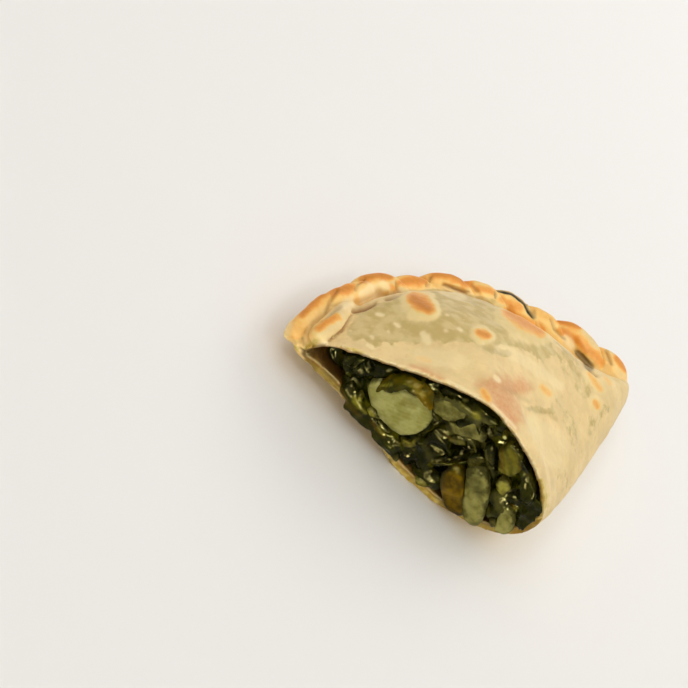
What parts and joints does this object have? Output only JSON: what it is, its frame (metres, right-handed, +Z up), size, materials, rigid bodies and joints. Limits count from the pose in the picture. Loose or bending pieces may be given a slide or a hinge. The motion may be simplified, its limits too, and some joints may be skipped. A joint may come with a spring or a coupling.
{
  "type": "cut empanada",
  "caption": "Half of a baked empanada: thin pastry folded over chopped chard and onion, closed along its curved edge by a twisted rope, and cut straight across.",
  "frame": {"origin": "middle of the bounding box at the level of the flat underside", "axes": "+X across the cut from the rope edge to the folded side, +Y from the cut to the tip, +Z up; the cut faces -Y"},
  "size_m": [0.072, 0.0658, 0.0269],
  "materials": {
    "pastry": "baked pastry, satin, translucent where it is thin, browned on the rope and in blisters",
    "chard": "wet, cooked dark green leaf",
    "onion": "wet, translucent, faintly ribbed",
    "stalk": "wet amber stalk",
    "yellow_leaf": "wet olive-yellow leaf"
  },
  "bodies": {
    "root": {"pastry": "pastry", "filling": "chard", "onion_large": "onion", "onion_mid": "onion", "onion_back": "onion", "onion_low": "onion", "onion_corner": "onion", "stalk": "stalk", "stem": "yellow_leaf", "leaf_yellow": "yellow_leaf"}
  },
  "joints": []
}
